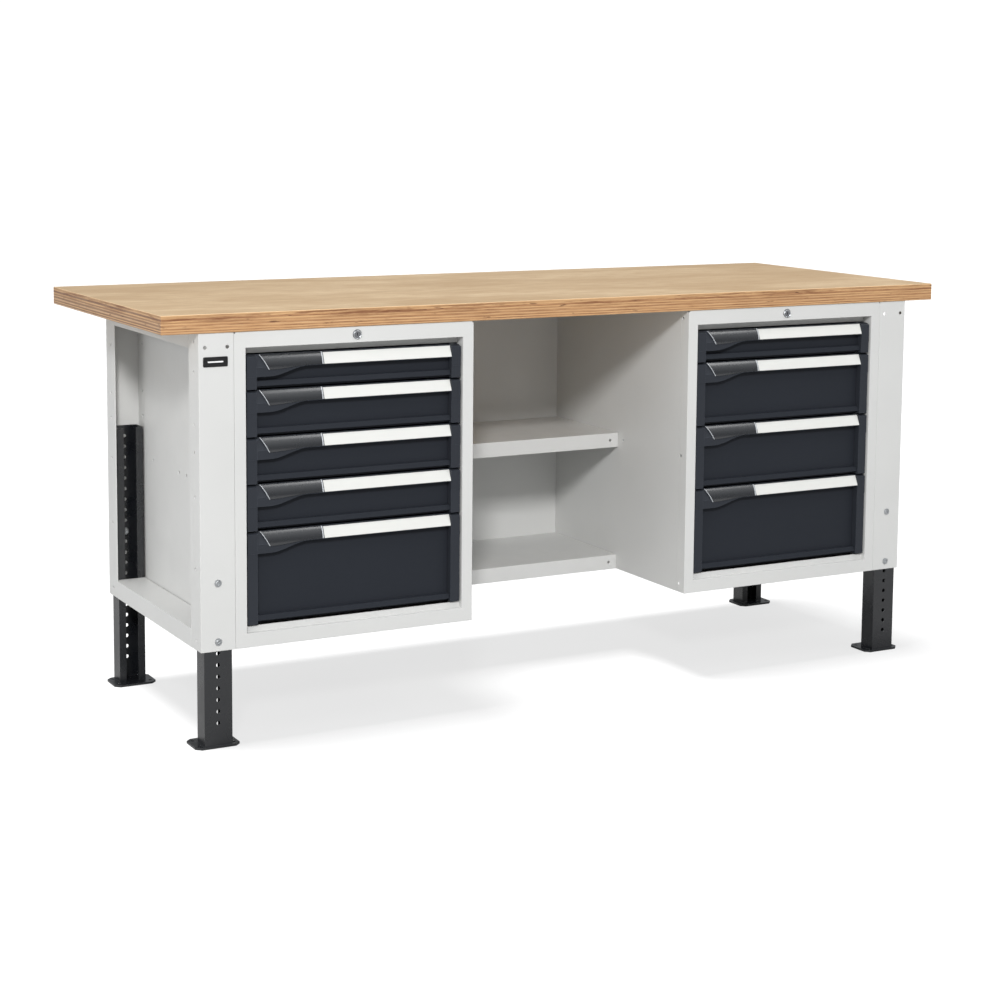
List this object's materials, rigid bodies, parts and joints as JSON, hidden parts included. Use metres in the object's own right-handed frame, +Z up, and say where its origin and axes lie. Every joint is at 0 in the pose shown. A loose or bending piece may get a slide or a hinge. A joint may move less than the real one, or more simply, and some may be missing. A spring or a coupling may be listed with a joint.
{
  "type": "workbench",
  "caption": "Workbench with a thick plywood top, two lockable drawer cabinets, a shelf bay between them and perforated height-adjustable steel legs.",
  "frame": {"origin": "on the floor under the middle of the worktop", "axes": "+X along the bench to the user's right, -Y towards the user, +Z up"},
  "size_m": [2, 0.75, 0.918],
  "materials": {
    "multiplex": "clear oiled beech plywood",
    "light_grey_paint": "light grey powder coat",
    "leg_grey_paint": "dark grey powder coat",
    "drawer_grey_paint": "dark grey powder coat",
    "anthracite_paint": "anthracite powder coat",
    "anthracite_plastic": "fine-grained moulded plastic",
    "zinc_plate": "zinc-plated steel",
    "lock_chrome": "polished"
  },
  "bodies": {
    "legs": {"leg_left_front": "leg_grey_paint", "leg_left_rear": "leg_grey_paint", "leg_right_front": "leg_grey_paint", "leg_right_rear": "leg_grey_paint"},
    "frame": {"worktop": "multiplex", "post_left_front": "light_grey_paint", "post_left_rear": "light_grey_paint", "side_tray_left": "light_grey_paint", "inner_panel_left": "light_grey_paint", "side_rail_left": "light_grey_paint", "cabinet_shell_left": "light_grey_paint", "face_frame_left": "light_grey_paint", "runners_left_a": "zinc_plate", "runners_left_b": "zinc_plate", "post_right_front": "light_grey_paint", "post_right_rear": "light_grey_paint", "side_tray_right": "light_grey_paint", "inner_panel_right": "light_grey_paint", "side_rail_right": "light_grey_paint", "cabinet_shell_right": "light_grey_paint", "face_frame_right": "light_grey_paint", "runners_right_a": "zinc_plate", "runners_right_b": "zinc_plate", "back_panel": "light_grey_paint", "shelf_upper": "light_grey_paint", "shelf_lower": "light_grey_paint"},
    "lock_left": {"lock_cylinder_left": "lock_chrome"},
    "lock_bar_left": {"lock_bar_left": "zinc_plate"},
    "drawer_left_1": {"drawer_left_1_body": "drawer_grey_paint", "drawer_left_1_panel": "anthracite_paint", "drawer_left_1_grip": "anthracite_plastic"},
    "drawer_left_2": {"drawer_left_2_body": "drawer_grey_paint", "drawer_left_2_panel": "anthracite_paint", "drawer_left_2_grip": "anthracite_plastic"},
    "drawer_left_3": {"drawer_left_3_body": "drawer_grey_paint", "drawer_left_3_panel": "anthracite_paint", "drawer_left_3_grip": "anthracite_plastic"},
    "drawer_left_4": {"drawer_left_4_body": "drawer_grey_paint", "drawer_left_4_panel": "anthracite_paint", "drawer_left_4_grip": "anthracite_plastic"},
    "drawer_left_5": {"drawer_left_5_body": "drawer_grey_paint", "drawer_left_5_panel": "anthracite_paint", "drawer_left_5_grip": "anthracite_plastic"},
    "lock_right": {"lock_cylinder_right": "lock_chrome"},
    "lock_bar_right": {"lock_bar_right": "zinc_plate"},
    "drawer_right_1": {"drawer_right_1_body": "drawer_grey_paint", "drawer_right_1_panel": "anthracite_paint", "drawer_right_1_grip": "anthracite_plastic"},
    "drawer_right_2": {"drawer_right_2_body": "drawer_grey_paint", "drawer_right_2_panel": "anthracite_paint", "drawer_right_2_grip": "anthracite_plastic"},
    "drawer_right_3": {"drawer_right_3_body": "drawer_grey_paint", "drawer_right_3_panel": "anthracite_paint", "drawer_right_3_grip": "anthracite_plastic"},
    "drawer_right_4": {"drawer_right_4_body": "drawer_grey_paint", "drawer_right_4_panel": "anthracite_paint", "drawer_right_4_grip": "anthracite_plastic"}
  },
  "joints": [
    {"name": "height_adjust", "type": "slide", "parent": "legs", "child": "frame", "axis": [0, 0, 1], "range_m": [0, 0.15]},
    {"name": "drawer_left_1_slide", "type": "slide", "parent": "frame", "child": "drawer_left_1", "axis": [0, -1, 0], "range_m": [0, 0.43]},
    {"name": "drawer_left_2_slide", "type": "slide", "parent": "frame", "child": "drawer_left_2", "axis": [0, -1, 0], "range_m": [0, 0.43]},
    {"name": "drawer_left_3_slide", "type": "slide", "parent": "frame", "child": "drawer_left_3", "axis": [0, -1, 0], "range_m": [0, 0.43]},
    {"name": "drawer_left_4_slide", "type": "slide", "parent": "frame", "child": "drawer_left_4", "axis": [0, -1, 0], "range_m": [0, 0.43]},
    {"name": "drawer_left_5_slide", "type": "slide", "parent": "frame", "child": "drawer_left_5", "axis": [0, -1, 0], "range_m": [0, 0.43]},
    {"name": "lock_left_turn", "type": "hinge", "parent": "frame", "child": "lock_left", "pos_m": [-0.562, -0.373, 0.861], "axis": [0, 1, 0], "range_deg": [0, 90]},
    {"name": "lock_bar_left_lift", "type": "slide", "parent": "frame", "child": "lock_bar_left", "axis": [0, 0, 1], "range_m": [0, 0.01]},
    {"name": "drawer_right_1_slide", "type": "slide", "parent": "frame", "child": "drawer_right_1", "axis": [0, -1, 0], "range_m": [0, 0.43]},
    {"name": "drawer_right_2_slide", "type": "slide", "parent": "frame", "child": "drawer_right_2", "axis": [0, -1, 0], "range_m": [0, 0.43]},
    {"name": "drawer_right_3_slide", "type": "slide", "parent": "frame", "child": "drawer_right_3", "axis": [0, -1, 0], "range_m": [0, 0.43]},
    {"name": "drawer_right_4_slide", "type": "slide", "parent": "frame", "child": "drawer_right_4", "axis": [0, -1, 0], "range_m": [0, 0.43]},
    {"name": "lock_right_turn", "type": "hinge", "parent": "frame", "child": "lock_right", "pos_m": [0.562, -0.373, 0.861], "axis": [0, 1, 0], "range_deg": [0, 90]},
    {"name": "lock_bar_right_lift", "type": "slide", "parent": "frame", "child": "lock_bar_right", "axis": [0, 0, 1], "range_m": [0, 0.01]}
  ],
  "couplings": [
    {"joint": "lock_left_turn", "follows": "lock_bar_left_lift", "rad_per_m": 157.07},
    {"joint": "lock_right_turn", "follows": "lock_bar_right_lift", "rad_per_m": 157.07}
  ]
}
